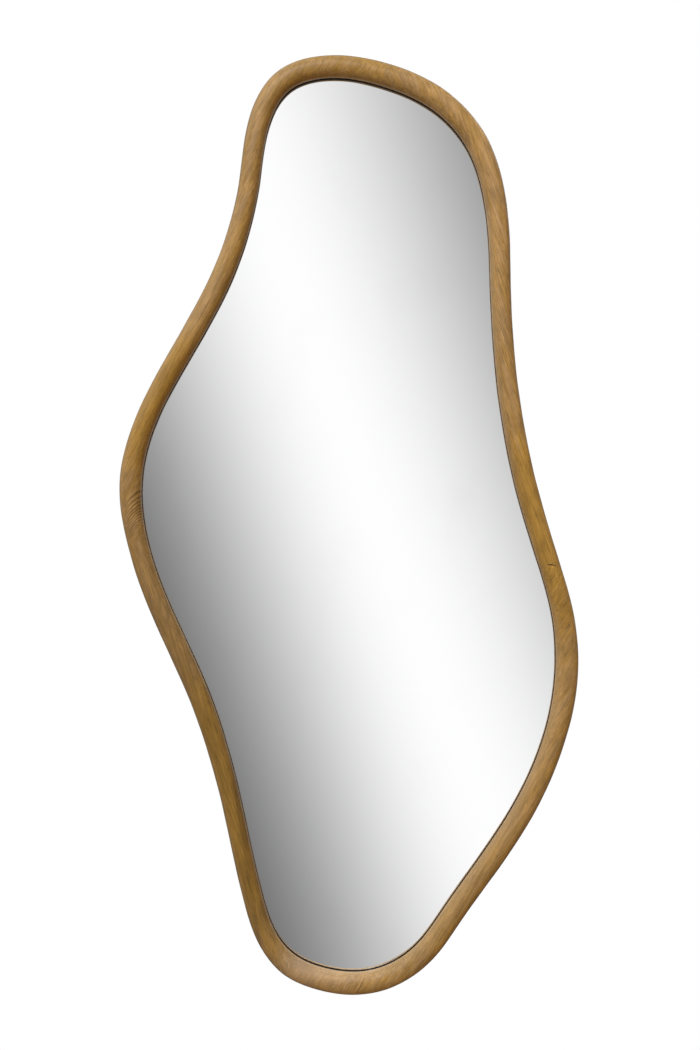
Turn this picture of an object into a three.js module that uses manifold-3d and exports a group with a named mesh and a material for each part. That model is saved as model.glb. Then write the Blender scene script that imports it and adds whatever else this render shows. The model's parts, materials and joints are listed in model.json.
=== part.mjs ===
// A tall wall mirror in a free-form frame of four solid-wood boards, as it hangs on a wall.
//
// Millimetres. Seen from the front, X runs to the right and Z runs up. Y runs away from the viewer, into the
// wall. The origin is the middle of the frame's flat back, on the rear face of the backing board.

import * as THREE from 'three';
import { mergeVertices } from 'three/addons/utils/BufferGeometryUtils.js';
import Module from 'manifold-3d';

const wasm = await Module();
wasm.setup();

// ---------------------------------------------------------------------------------------------------------
// Driving dimensions
// ---------------------------------------------------------------------------------------------------------

// Size of the rail's centre line, between its outermost anchors
const OUTLINE_WIDTH = 743;
const OUTLINE_HEIGHT = 1558.5;
const RAIL_WIDTH = 36;

// The four boards, clockwise from the joint at the top. Each lists anchors [x, z, swell] on its centre line,
// starts at the first of them and ends where the next board starts. The drawn line is stretched to the size
// above, and the swell is what the rail is wider than RAIL_WIDTH there.
const BOARDS = [
  {
    name: 'frame_board_upper_right',
    anchors: [
      [67, 765, 3], [149, 727, 3], [213, 660, 2.5], [245, 575, 1.5], [259, 389, -1.5], [275, 204, -1],
      [314, 22, 0],
    ],
  },
  {
    name: 'frame_board_lower_right',
    anchors: [
      [341, -65, -1], [365, -156, 0.5], [371, -249, 2.5], [357, -340, 1], [283, -510, 1], [177, -663, 0],
      [120, -736, 0.5], [40, -777.5, 2], [-52, -772, 2],
    ],
  },
  {
    name: 'frame_board_lower_left',
    anchors: [
      [-100.5, -750, 1.5], [-128, -722, -1], [-163, -638, -3], [-204, -457, -3], [-260, -280, -0.5],
      [-335, -110, -1.5],
    ],
  },
  {
    name: 'frame_board_upper_left',
    anchors: [
      [-361, -27, -1.5], [-372, 70, 1.5], [-353, 161, -0.5], [-314, 245, -0.5], [-224, 408, 0],
      [-170, 585, -1.5], [-156, 676, -0.5], [-113, 755.5, 1.5], [-26, 781, 1.5],
    ],
  },
];

const GAP = 0.3; // clearance between pieces that touch
const CHORD_ERROR = 0.2; // how far a straight stretch between two cross-sections may leave the rail's curve
const LONGEST_STEP = 35; // between two cross-sections

// Rail section
const RAIL_DEPTH = 34;
const NOSE_DEPTH = 18; // how far back the rounded front reaches
const NOSE_STEPS = 8;
const UNDERCUT = 2; // how far the sight edge overhangs the wood behind it
const BACK_ROUND = 2.5; // rounding of the outer back edge
const ROUND_STEPS = 2;
const GLASS_STEP = 9; // width of the glass rebate, from the sight edge
const BACKING_STEP = 10; // further width of the backing board's rebate

// Mirror glass, what packs and carries it, and the backing board
const GLASS_THICKNESS = 4;
const GLASS_CLEARANCE = 2; // between the glass edge and the side of its rebate
const STRIPS_PER_BOARD = 2;
const STRIP_LENGTH = 120;
const STRIP_WIDTH = 5;
const STRIP_THICKNESS = 1.4;
const STRIP_SETBACK = 1; // from the glass edge
const BLOCK_LENGTH = 30;
const BLOCK_SPACING = 110; // between the two setting blocks under the glass
const BACKING_THICKNESS = 4;
const BACKING_CLEARANCE = 1;

// Dowels in the butt joints
const DOWEL_RADIUS = 4;
const DOWEL_LENGTH = 40;
const DOWEL_CHAMFER = 1;
const DOWEL_SPACING = 16;
const DOWEL_DEPTH = 19; // from the back of the frame
const DOWEL_SIDES = 12;

// Screws that hold the backing board
const SCREWS_PER_BOARD = 4;
const SCREW_RADIUS = 1.5;
const SCREW_TIP = 3; // length of the pointed end
const SCREW_SIDES = 10;
const BACKING_SCREW_LENGTH = 14;
const COUNTERSUNK_HEAD_RADIUS = 3;
const COUNTERSUNK_RIM = 0.3; // straight rim above the cone

// Strap hangers
const HANGER_DROP = 246; // from the top of the centre line down to the middle of the straps
const STRAP_WIDTH = 11;
const STRAP_THICKNESS = 1;
const STRAP_LENGTH = 36; // from the pivot to the rounded end
const STRAP_SCREW_DISTANCES = [19.5, 31]; // from the pivot
const STRAP_SCREW_LENGTH = 12;
const PAN_HEAD_RADIUS = 3;
const PAN_HEAD_HEIGHT = 1.9;
const PAN_HEAD_CROWN = 0.7; // height of the rounded top of the head
const ROLL_END = 205; // degrees round the pivot to the free end of the rolled eye
const ROLL_STEPS = 12;
const RING_WIRE_RADIUS = 1.25;
const RING_INNER_WIDTH = 13;
const RING_INNER_HEIGHT = 12; // from the pivot to the inside of the bow
const RING_CORNER = 2; // bend radius of the wire's middle beside the straight bar
const RING_STEPS = 40;
const RING_SIDES = 8;

// Wall pads, one pair near the top and one near the bottom
const UPPER_PAD_DROP = 341; // below the top of the centre line
const LOWER_PAD_RISE = 137.5; // above its bottom
const PAD_RADIUS = 5;
const PAD_THICKNESS = 5;
const PAD_TAPER = 0.6; // how much smaller the face against the wall is
const PAD_SIDES = 16;

// ---------------------------------------------------------------------------------------------------------
// Derived dimensions. Depths are Y values, so the front of the frame is negative.
// ---------------------------------------------------------------------------------------------------------

const NOSE_Y = NOSE_DEPTH - RAIL_DEPTH;
const BACKING_SEAT_Y = -BACKING_THICKNESS - GAP;
const STRIP_FRONT_Y = BACKING_SEAT_Y - STRIP_THICKNESS;
const GLASS_BACK_Y = STRIP_FRONT_Y - GAP;
const GLASS_FRONT_Y = GLASS_BACK_Y - GLASS_THICKNESS;
const GLASS_SEAT_Y = GLASS_FRONT_Y - GAP;

const ROLL_INNER_RADIUS = RING_WIRE_RADIUS + GAP;
const ROLL_OUTER_RADIUS = ROLL_INNER_RADIUS + STRAP_THICKNESS;
const PIVOT_Y = GAP + ROLL_OUTER_RADIUS;
const STRAP_REAR_Y = GAP + STRAP_THICKNESS;

const drawn = BOARDS.flatMap((board) => board.anchors);
const drawnReach = (values) => Math.max(...values) - Math.min(...values);
const stretchX = OUTLINE_WIDTH / drawnReach(drawn.map(([x]) => x));
const stretchZ = OUTLINE_HEIGHT / drawnReach(drawn.map(([, z]) => z));
const anchors = drawn.map(([x, z, swell]) => [x * stretchX, z * stretchZ, RAIL_WIDTH + swell]);

const LINE_TOP = Math.max(...anchors.map(([, z]) => z));
const HANGER_HEIGHT = LINE_TOP - HANGER_DROP;
const UPPER_PAD_HEIGHT = LINE_TOP - UPPER_PAD_DROP;
const LOWER_PAD_HEIGHT = Math.min(...anchors.map(([, z]) => z)) + LOWER_PAD_RISE;

// Distances across the rail from its centre line, positive towards the glass.
const rebateSide = (width) => width / 2 - GLASS_STEP;
const glassEdge = (width) => rebateSide(width) + GLASS_CLEARANCE;
const backingSide = (width) => rebateSide(width) - BACKING_STEP;
const backingEdge = (width) => backingSide(width) + BACKING_CLEARANCE;
const screwLine = (width) => (backingEdge(width) + rebateSide(width)) / 2;
const rimMiddle = (width) => (backingSide(width) - width / 2 + BACK_ROUND) / 2;

// ---------------------------------------------------------------------------------------------------------
// Solids
// ---------------------------------------------------------------------------------------------------------

/** The solid inside a closed geometry: positions only, shared corners merged, empty triangles dropped. */
function solid(geometry) {
  const bare = geometry.clone();
  bare.deleteAttribute('normal');
  bare.deleteAttribute('uv');
  const merged = mergeVertices(bare, 1e-4);
  const corners = merged.index.array;
  const triangles = [];
  for (let i = 0; i < corners.length; i += 3) {
    const [a, b, c] = corners.slice(i, i + 3);
    if (a !== b && b !== c && c !== a) {
      triangles.push(a, b, c);
    }
  }
  const vertProperties = new Float32Array(merged.attributes.position.array);
  const triVerts = new Uint32Array(triangles);
  return new wasm.Manifold(new wasm.Mesh({ numProp: 3, vertProperties, triVerts }));
}

/** A geometry with the faces of a solid. */
function geometryOf(body) {
  const { vertProperties, triVerts } = body.getMesh();
  const geometry = new THREE.BufferGeometry();
  geometry.setAttribute('position', new THREE.BufferAttribute(vertProperties, 3));
  geometry.setIndex(new THREE.BufferAttribute(triVerts, 1));
  geometry.computeVertexNormals();
  return geometry;
}

/** A geometry less the room that the cutters take. */
function cut(geometry, cutters) {
  return geometryOf(cutters.reduce((body, cutter) => body.subtract(solid(cutter)), solid(geometry)));
}

/** The part that two geometries share. */
function common(first, second) {
  return geometryOf(solid(first).intersect(solid(second)));
}

/** A skin over rings of points. Given their outline, it is capped at both ends; without one it is a loop. */
function loft(rings, outline = null) {
  const count = rings[0].length;
  const corners = [];
  const spans = outline ? rings.length - 1 : rings.length;
  for (let i = 0; i < spans; i++) {
    const here = i * count;
    const next = ((i + 1) % rings.length) * count;
    for (let j = 0; j < count; j++) {
      const k = (j + 1) % count;
      corners.push(here + j, here + k, next + k, here + j, next + k, next + j);
    }
  }
  if (outline) {
    const last = (rings.length - 1) * count;
    for (const [a, b, c] of THREE.ShapeUtils.triangulateShape(outline, [])) {
      corners.push(a, c, b, last + a, last + b, last + c);
    }
  }
  const positions = rings.flat().flatMap((point) => point.toArray());
  const geometry = new THREE.BufferGeometry();
  geometry.setAttribute('position', new THREE.Float32BufferAttribute(positions, 3));
  geometry.setIndex(corners);
  geometry.computeVertexNormals();
  return geometry;
}

/** A body turned about Y from a profile of [radius, y] that starts on the axis below and ends on it above. */
function turned(profile, sides) {
  return new THREE.LatheGeometry(profile.map(([radius, y]) => new THREE.Vector2(radius, y)), sides);
}

/** A flat plate inside an outline of points in the XZ plane, with its rear face at a given depth. */
function plate(points, thickness, rearY) {
  const shape = new THREE.Shape(points.map((point) => new THREE.Vector2(point.x, point.z)));
  const geometry = new THREE.ExtrudeGeometry(shape, { depth: thickness, bevelEnabled: false });
  return geometry.rotateX(Math.PI / 2).translate(0, rearY, 0);
}

// ---------------------------------------------------------------------------------------------------------
// The rail
// ---------------------------------------------------------------------------------------------------------

/**
 * Joins values at knots on a closed line, which lie the given spans apart, with cubics whose first and second
 * derivatives have no steps. Returns a function of a knot's number and the fraction of the way to the next.
 */
function smoothLoop(values, spans) {
  const PASSES = 60;
  const count = values.length;
  const rises = values.map((value, i) => (values[(i + 1) % count] - value) / spans[i]);
  const slopes = [...rises];
  for (let pass = 0; pass < PASSES; pass++) {
    for (let i = 0; i < count; i++) {
      const before = (i + count - 1) % count;
      const after = (i + 1) % count;
      const fromBefore = spans[i] * (3 * rises[before] - slopes[before]);
      const fromAfter = spans[before] * (3 * rises[i] - slopes[after]);
      slopes[i] = (fromBefore + fromAfter) / (2 * (spans[before] + spans[i]));
    }
  }
  return (i, t) => {
    const after = (i + 1) % count;
    const ends = values[i] * (1 + 2 * t) * (1 - t) ** 2 + values[after] * t * t * (3 - 2 * t);
    return ends + spans[i] * (slopes[i] * t * (1 - t) ** 2 + slopes[after] * t * t * (t - 1));
  };
}

/** The closed centre line through knots [x, z, width], with its width. */
class RailCurve extends THREE.Curve {
  constructor(knots) {
    super();
    const STEPS_PER_KNOT = 100;
    this.count = knots.length;
    this.arcLengthDivisions = this.count * STEPS_PER_KNOT;
    const spans = knots.map(([x, z], i) => {
      const [nextX, nextZ] = knots[(i + 1) % this.count];
      return Math.hypot(nextX - x, nextZ - z);
    });
    const column = (k) => smoothLoop(knots.map((knot) => knot[k]), spans);
    [this.x, this.z, this.width] = [column(0), column(1), column(2)];
    this.knotDistances = knots.map((knot, i) => this.getLengths()[i * STEPS_PER_KNOT]);
  }

  /** The knot before t, and the fraction of the way from it to the next. */
  locate(t) {
    const place = (t - Math.floor(t)) * this.count;
    const i = Math.min(Math.floor(place), this.count - 1);
    return [i, place - i];
  }

  getPoint(t) {
    const [i, fraction] = this.locate(t);
    return new THREE.Vector3(this.x(i, fraction), 0, this.z(i, fraction));
  }

  getTangent(t) {
    const STEP = 1e-5;
    return this.getPoint(t + STEP).sub(this.getPoint(t - STEP)).normalize();
  }

  /** The rail at a distance along it: its middle, the way on, the way towards the glass, and its width. */
  stationAt(distance) {
    const laps = distance / this.getLength();
    const t = this.getUtoTmapping(laps - Math.floor(laps));
    const along = this.getTangent(t);
    const inward = new THREE.Vector3(along.z, 0, -along.x);
    return { distance, middle: this.getPoint(t), along, inward, width: this.width(...this.locate(t)) };
  }

  /** Stations from one distance to another, closer together where the rail bends more. */
  stationsBetween(from, to) {
    const SAMPLES = 200;
    const sample = (to - from) / SAMPLES;
    const tangents = Array.from({ length: SAMPLES + 1 }, (_, i) => this.stationAt(from + sample * i).along);
    const stepsDue = [0]; // up to each sample
    for (let i = 0; i < SAMPLES; i++) {
      const bend = tangents[i].angleTo(tangents[i + 1]) / sample;
      stepsDue.push(stepsDue[i] + sample * Math.max(1 / LONGEST_STEP, Math.sqrt(bend / (8 * CHORD_ERROR))));
    }
    const steps = Math.ceil(stepsDue[SAMPLES]);
    let i = 0;
    return Array.from({ length: steps + 1 }, (_, k) => {
      const due = (stepsDue[SAMPLES] * k) / steps;
      while (i < SAMPLES - 1 && stepsDue[i + 1] < due) {
        i += 1;
      }
      const fraction = (due - stepsDue[i]) / (stepsDue[i + 1] - stepsDue[i]);
      return this.stationAt(from + sample * (i + fraction));
    });
  }
}

const rail = new RailCurve(anchors);

/** Where each board starts and ends along the rail. */
const boards = BOARDS.map(({ name }, i) => {
  const firstAnchor = (k) => BOARDS.slice(0, k).reduce((sum, board) => sum + board.anchors.length, 0);
  const start = rail.knotDistances[firstAnchor(i)];
  const end = i + 1 < BOARDS.length ? rail.knotDistances[firstAnchor(i + 1)] : rail.getLength();
  return { name, start, end, cutters: [] };
});
const [upperRight, lowerRight, lowerLeft, upperLeft] = boards;

/** The point at a distance across the rail and a depth, at one station. */
function pointOn(station, across, y) {
  return station.middle.clone().addScaledVector(station.inward, across).setY(y);
}

/** A body whose section of [across, y] follows the rail through the stations. */
function sweep(stations, section) {
  const ringAt = (station) => section(station.width).map(([across, y]) => pointOn(station, across, y));
  const outline = section(stations[0].width).map(([across, y]) => new THREE.Vector2(across, y));
  return loft(stations.map(ringAt), outline);
}

/** The outline that a distance across the rail draws all the way round. */
function outlineAt(across) {
  const stations = boards.flatMap((board) => rail.stationsBetween(board.start, board.end).slice(0, -1));
  return stations.map((station) => pointOn(station, across(station.width), 0));
}

/** The station where a board crosses a height. */
function crossing(board, height) {
  const PRECISION = 0.01;
  const isBelow = (distance) => rail.stationAt(distance).middle.z < height;
  let [low, high] = [board.start, board.end];
  while (high - low > PRECISION) {
    const middle = (low + high) / 2;
    if (isBelow(middle) === isBelow(low)) {
      low = middle;
    } else {
      high = middle;
    }
  }
  return rail.stationAt(low);
}

/** Distances that divide a board evenly, half a step in from each end. */
function spread(board, count) {
  const step = (board.end - board.start) / count;
  return Array.from({ length: count }, (_, i) => board.start + step * (i + 0.5));
}

// ---------------------------------------------------------------------------------------------------------
// Materials
// ---------------------------------------------------------------------------------------------------------

const finish = (color, roughness, metalness = 0) =>
  new THREE.MeshStandardMaterial({ color, roughness, metalness });

const wood = () => finish(0xa57c4b, 0.5);
const dowelWood = () => finish(0xc9a06c, 0.7);
const silvering = () => finish(0xe6e8e8, 0.03, 1);
const fibreboard = () => finish(0x7a5a3c, 0.85);
const foam = () => finish(0x4a4a4a, 0.95);
const rubber = () => finish(0x2a2a2a, 0.8);
const steel = () => finish(0xb9bbbd, 0.35, 1);
const brassPlate = () => finish(0xc9a24f, 0.35, 1);

function named(name, geometry, material) {
  const mesh = new THREE.Mesh(geometry, material);
  mesh.name = name;
  return mesh;
}

// ---------------------------------------------------------------------------------------------------------
// Fasteners. Each profile takes a gap: 0 for the piece itself, GAP for the room that it needs.
// ---------------------------------------------------------------------------------------------------------

/** Head flush with y = 0, point downwards. */
function countersunkScrew(gap) {
  const shank = SCREW_RADIUS + gap;
  const head = COUNTERSUNK_HEAD_RADIUS + gap;
  const coneEnd = -COUNTERSUNK_RIM - (COUNTERSUNK_HEAD_RADIUS - SCREW_RADIUS);
  const tipStart = SCREW_TIP - BACKING_SCREW_LENGTH;
  const tip = -BACKING_SCREW_LENGTH - gap;
  const profile = [[0, tip], [shank, tipStart], [shank, coneEnd], [head, -COUNTERSUNK_RIM], [head, gap],
    [0, gap]];
  return turned(profile, SCREW_SIDES);
}

/** Underside of the head at y = 0, point downwards. */
function panScrew(gap) {
  const shank = SCREW_RADIUS + gap;
  const head = PAN_HEAD_RADIUS + gap;
  const tipStart = SCREW_TIP - STRAP_SCREW_LENGTH;
  const crownStart = PAN_HEAD_HEIGHT - PAN_HEAD_CROWN;
  const profile = [[0, -STRAP_SCREW_LENGTH - gap], [shank, tipStart], [shank, -gap], [head, -gap],
    [head, crownStart], [head - PAN_HEAD_CROWN, PAN_HEAD_HEIGHT], [0, PAN_HEAD_HEIGHT]];
  return turned(profile, SCREW_SIDES);
}

function dowel(gap) {
  const radius = DOWEL_RADIUS + gap;
  const half = DOWEL_LENGTH / 2 + gap;
  return turned([[0, -half], [radius - DOWEL_CHAMFER, -half], [radius, DOWEL_CHAMFER - half],
    [radius, half - DOWEL_CHAMFER], [radius - DOWEL_CHAMFER, half], [0, half]], DOWEL_SIDES);
}

/** The room that a placed piece needs, as a cutter in the mirror's own frame. */
function roomFor(mesh, shape) {
  mesh.updateWorldMatrix(true, false);
  return shape(GAP).applyMatrix4(mesh.matrixWorld);
}

// ---------------------------------------------------------------------------------------------------------
// Pieces inside the frame
// ---------------------------------------------------------------------------------------------------------

const mirror = new THREE.Group();

/** Two dowels across each butt joint. */
function addDowels() {
  const up = new THREE.Vector3(0, 1, 0);
  boards.forEach((board, i) => {
    const previous = boards[(i + boards.length - 1) % boards.length];
    const station = rail.stationAt(board.start);
    for (const [side, sign] of [['outer', -1], ['inner', 1]]) {
      const peg = named(`dowel_${board.name.replace('frame_board_', '')}_${side}`, dowel(0), dowelWood());
      peg.position.copy(pointOn(station, (sign * DOWEL_SPACING) / 2, -DOWEL_DEPTH));
      peg.quaternion.setFromUnitVectors(up, station.along);
      mirror.add(peg);
      const room = roomFor(peg, dowel);
      board.cutters.push(room);
      previous.cutters.push(room);
    }
  });
}

/** The glass, the strips that press it forward and the blocks that it stands on. */
function addGlass() {
  mirror.add(named('mirror_glass', plate(outlineAt(glassEdge), GLASS_THICKNESS, GLASS_BACK_Y), silvering()));

  const stripSection = (width) => {
    const outer = glassEdge(width) + STRIP_SETBACK;
    const inner = outer + STRIP_WIDTH;
    const rear = BACKING_SEAT_Y;
    return [[outer, rear], [outer, STRIP_FRONT_Y], [inner, STRIP_FRONT_Y], [inner, rear]];
  };
  const middles = boards.flatMap((board) => spread(board, STRIPS_PER_BOARD));
  middles.forEach((middle, i) => {
    const stations = rail.stationsBetween(middle - STRIP_LENGTH / 2, middle + STRIP_LENGTH / 2);
    mirror.add(named(`packing_strip_${i + 1}`, sweep(stations, stripSection), foam()));
  });

  const blockSection = (width) => {
    const outer = rebateSide(width) + GAP;
    const inner = glassEdge(width) - GAP;
    return [[outer, GLASS_BACK_Y], [outer, GLASS_FRONT_Y], [inner, GLASS_FRONT_Y], [inner, GLASS_BACK_Y]];
  };
  const bottom = rail.stationsBetween(lowerRight.start, lowerRight.end);
  const lowest = bottom.reduce((low, station) => (station.middle.z < low.middle.z ? station : low));
  for (const [side, sign] of [['right', -1], ['left', 1]]) {
    const middle = lowest.distance + (sign * BLOCK_SPACING) / 2;
    const stations = rail.stationsBetween(middle - BLOCK_LENGTH / 2, middle + BLOCK_LENGTH / 2);
    mirror.add(named(`setting_block_${side}`, sweep(stations, blockSection), rubber()));
  }
}

/** The backing board and its screws. */
function addBacking() {
  const holes = [];
  let number = 0;
  for (const board of boards) {
    for (const distance of spread(board, SCREWS_PER_BOARD)) {
      const station = rail.stationAt(distance);
      number += 1;
      const screw = named(`backing_screw_${number}`, countersunkScrew(0), steel());
      screw.position.copy(pointOn(station, screwLine(station.width), 0));
      mirror.add(screw);
      const room = roomFor(screw, countersunkScrew);
      holes.push(room);
      board.cutters.push(room);
    }
  }
  const sheet = plate(outlineAt(backingEdge), BACKING_THICKNESS, 0);
  mirror.add(named('backing_board', cut(sheet, holes), fibreboard()));
}

// ---------------------------------------------------------------------------------------------------------
// Hangers. Each is built round its pivot: X along the pivot, Y off the frame's back, Z up the strap.
// ---------------------------------------------------------------------------------------------------------

/** The strap with its rolled eye, before it is drilled. */
function strapBlank() {
  const start = -Math.PI / 2;
  const end = (ROLL_END / 180) * Math.PI;
  const side = new THREE.Shape();
  side.moveTo(-STRAP_LENGTH, GAP);
  side.lineTo(0, GAP);
  side.absarc(0, PIVOT_Y, ROLL_OUTER_RADIUS, start, end, false);
  side.absarc(0, PIVOT_Y, ROLL_INNER_RADIUS, end, start, true);
  side.lineTo(-STRAP_LENGTH, STRAP_REAR_Y);
  const sides = { depth: STRAP_WIDTH, bevelEnabled: false, curveSegments: ROLL_STEPS };
  const bent = new THREE.ExtrudeGeometry(side, sides);
  const basis = new THREE.Matrix4().makeBasis(
    new THREE.Vector3(0, 0, 1), new THREE.Vector3(0, 1, 0), new THREE.Vector3(-1, 0, 0));
  bent.applyMatrix4(basis).translate(STRAP_WIDTH / 2, 0, 0);

  const half = STRAP_WIDTH / 2;
  const plan = new THREE.Path();
  plan.moveTo(half, 2 * ROLL_OUTER_RADIUS);
  plan.lineTo(-half, 2 * ROLL_OUTER_RADIUS);
  plan.absarc(0, half - STRAP_LENGTH, half, Math.PI, 2 * Math.PI, false);
  const points = plan.getPoints(ROLL_STEPS).map((point) => new THREE.Vector3(point.x, 0, point.y));
  const thickness = 2 * (PIVOT_Y + ROLL_OUTER_RADIUS);
  return common(bent, plate(points, thickness, thickness / 1.5));
}

/** The D-shaped ring, hanging down from its straight bar on the X axis. */
function ringWire() {
  const half = RING_INNER_WIDTH / 2 + RING_WIRE_RADIUS;
  const bowMiddle = half - RING_INNER_HEIGHT - RING_WIRE_RADIUS;
  const line = new THREE.Path();
  line.moveTo(0, 0);
  line.lineTo(half - RING_CORNER, 0);
  line.absarc(half - RING_CORNER, -RING_CORNER, RING_CORNER, Math.PI / 2, 0, true);
  line.lineTo(half, bowMiddle);
  line.absarc(0, bowMiddle, half, 0, -Math.PI, true);
  line.lineTo(-half, -RING_CORNER);
  line.absarc(RING_CORNER - half, -RING_CORNER, RING_CORNER, Math.PI, Math.PI / 2, true);
  line.lineTo(0, 0);
  const points = line.getSpacedPoints(RING_STEPS).slice(0, -1);
  const rings = points.map((point, i) => {
    const ahead = points[(i + 1) % points.length];
    const behind = points[(i + points.length - 1) % points.length];
    const outward = ahead.clone().sub(behind).normalize().rotateAround(new THREE.Vector2(), Math.PI / 2);
    return Array.from({ length: RING_SIDES }, (_, k) => {
      const angle = (-2 * Math.PI * k) / RING_SIDES;
      const reach = RING_WIRE_RADIUS * Math.cos(angle);
      const y = RING_WIRE_RADIUS * Math.sin(angle);
      return new THREE.Vector3(point.x + outward.x * reach, y, point.y + outward.y * reach);
    });
  });
  return loft(rings);
}

/** A strap, its ring and its two screws on the back of a board. */
function addHanger(board, side) {
  const station = crossing(board, HANGER_HEIGHT);
  const up = station.along.clone().multiplyScalar(Math.sign(station.along.z));
  const hanger = new THREE.Group();
  hanger.position.copy(pointOn(station, rimMiddle(station.width), 0)).addScaledVector(up, STRAP_LENGTH / 2);
  hanger.rotation.y = Math.atan2(up.x, up.z);
  mirror.add(hanger);

  const ring = named(`hanger_ring_${side}`, ringWire(), steel());
  ring.position.y = PIVOT_Y;
  hanger.add(ring);

  const strapHoles = [];
  STRAP_SCREW_DISTANCES.forEach((distance, i) => {
    const screw = named(`hanger_screw_${side}_${i + 1}`, panScrew(0), brassPlate());
    screw.position.set(0, STRAP_REAR_Y + GAP, -distance);
    hanger.add(screw);
    board.cutters.push(roomFor(screw, panScrew));
    strapHoles.push(panScrew(GAP).translate(...screw.position.toArray()));
  });
  hanger.add(named(`hanger_strap_${side}`, cut(strapBlank(), strapHoles), steel()));
}

function addPad(board, height, name) {
  const station = crossing(board, height);
  const profile = [[0, 0], [PAD_RADIUS, 0], [PAD_RADIUS - PAD_TAPER, PAD_THICKNESS], [0, PAD_THICKNESS]];
  const pad = named(name, turned(profile, PAD_SIDES), rubber());
  pad.position.copy(pointOn(station, rimMiddle(station.width), GAP));
  mirror.add(pad);
}

// ---------------------------------------------------------------------------------------------------------
// The frame
// ---------------------------------------------------------------------------------------------------------

/** The rail's section at a width, from the outer edge's back over the front to the back of the rebates. */
function railSection(width) {
  const half = width / 2;
  const section = [];
  for (let i = 0; i <= ROUND_STEPS; i++) {
    const angle = ((i / ROUND_STEPS) * Math.PI) / 2;
    section.push([BACK_ROUND * (1 - Math.sin(angle)) - half, BACK_ROUND * (Math.cos(angle) - 1)]);
  }
  for (let i = 0; i <= NOSE_STEPS; i++) {
    const angle = (i / NOSE_STEPS) * Math.PI;
    section.push([-half * Math.cos(angle), NOSE_Y - NOSE_DEPTH * Math.sin(angle)]);
  }
  for (let i = 1; i <= ROUND_STEPS; i++) {
    const angle = ((i / ROUND_STEPS) * Math.PI) / 2;
    const y = NOSE_Y + (GLASS_SEAT_Y - NOSE_Y) * Math.sin(angle);
    section.push([half - UNDERCUT * (1 - Math.cos(angle)), y]);
  }
  section.push([rebateSide(width), GLASS_SEAT_Y], [rebateSide(width), BACKING_SEAT_Y]);
  section.push([backingSide(width), BACKING_SEAT_Y], [backingSide(width), 0]);
  return section;
}

/** The board between its two joints, with its holes. */
function addBoard(board) {
  const stations = rail.stationsBetween(board.start, board.end);
  const [first, last] = [stations[0], stations[stations.length - 1]];
  first.middle.addScaledVector(first.along, GAP / 2);
  last.middle.addScaledVector(last.along, -GAP / 2);
  mirror.add(named(board.name, cut(sweep(stations, railSection), board.cutters), wood()));
}

addDowels();
addGlass();
addBacking();
addHanger(upperRight, 'right');
addHanger(upperLeft, 'left');
addPad(upperRight, UPPER_PAD_HEIGHT, 'wall_pad_upper_right');
addPad(upperLeft, UPPER_PAD_HEIGHT, 'wall_pad_upper_left');
addPad(lowerRight, LOWER_PAD_HEIGHT, 'wall_pad_lower_right');
addPad(lowerLeft, LOWER_PAD_HEIGHT, 'wall_pad_lower_left');
boards.forEach(addBoard);

export default mirror;
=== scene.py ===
"""A tall wall mirror in a free-form frame of four solid-wood boards, as it hangs on a wall.

Seen from the front, X runs to the right, Z up, and Y away from the viewer. The sizes of the mirror are in
millimetres, and everything that Blender gets is in metres.
"""

import json
import math

import bmesh
import bpy
import numpy as np
from mathutils import Matrix, Vector


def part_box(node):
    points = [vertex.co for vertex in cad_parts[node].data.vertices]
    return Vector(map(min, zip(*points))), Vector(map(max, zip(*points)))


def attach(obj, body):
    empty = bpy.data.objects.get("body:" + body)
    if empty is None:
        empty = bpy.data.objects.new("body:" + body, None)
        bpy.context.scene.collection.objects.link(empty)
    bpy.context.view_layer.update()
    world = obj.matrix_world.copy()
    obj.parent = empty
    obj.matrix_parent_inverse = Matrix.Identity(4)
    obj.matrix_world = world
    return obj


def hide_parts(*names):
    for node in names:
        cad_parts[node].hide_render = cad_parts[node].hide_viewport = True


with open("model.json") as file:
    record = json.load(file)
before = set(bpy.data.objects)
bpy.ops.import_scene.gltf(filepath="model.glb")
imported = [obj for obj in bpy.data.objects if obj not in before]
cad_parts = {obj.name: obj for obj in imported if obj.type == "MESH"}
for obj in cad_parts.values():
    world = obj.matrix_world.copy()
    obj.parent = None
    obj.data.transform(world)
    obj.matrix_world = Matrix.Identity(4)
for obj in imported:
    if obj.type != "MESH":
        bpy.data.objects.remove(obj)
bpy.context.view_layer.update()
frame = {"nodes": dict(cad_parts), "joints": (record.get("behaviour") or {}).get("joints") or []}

MM = 0.001

# ---------------------------------------------------------------------------------------------------------
# Sizes of the solids, in millimetres
# ---------------------------------------------------------------------------------------------------------

# Anchors [x, z, rail width] on the rail's centre line. Each board starts at its first anchor.
BOARDS = {
    "upper_right": [
        (67, 765, 39), (149, 727, 39), (213, 660, 38.5), (245, 575, 37.5), (259, 389, 34.5),
        (275, 204, 35), (314, 22, 36),
    ],
    "lower_right": [
        (341, -65, 35), (365, -156, 36.5), (371, -249, 38.5), (357, -340, 37), (283, -510, 37),
        (177, -663, 36), (120, -736, 36.5), (40, -777.5, 38), (-52, -772, 38),
    ],
    "lower_left": [
        (-100.5, -750, 37.5), (-128, -722, 35), (-163, -638, 33), (-204, -457, 33), (-260, -280, 35.5),
        (-335, -110, 34.5),
    ],
    "upper_left": [
        (-361, -27, 34.5), (-372, 70, 37.5), (-353, 161, 35.5), (-314, 245, 35.5), (-224, 408, 36),
        (-170, 585, 34.5), (-156, 676, 35.5), (-113, 755.5, 37.5), (-26, 781, 37.5),
    ],
}
NOSE_Y = -16  # where the rounded front begins
NOSE_DEPTH = 18
UNDERCUT = 2
BACK_ROUND = 2.5
GLASS_SEAT_Y = -10.3
BACKING_SEAT_Y = -4.3
GLASS_STEP = 9
BACKING_STEP = 10
GLASS_EDGE = 7  # from the sight edge back to the edge of the glass
GLASS_BACK_Y = -6
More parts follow.
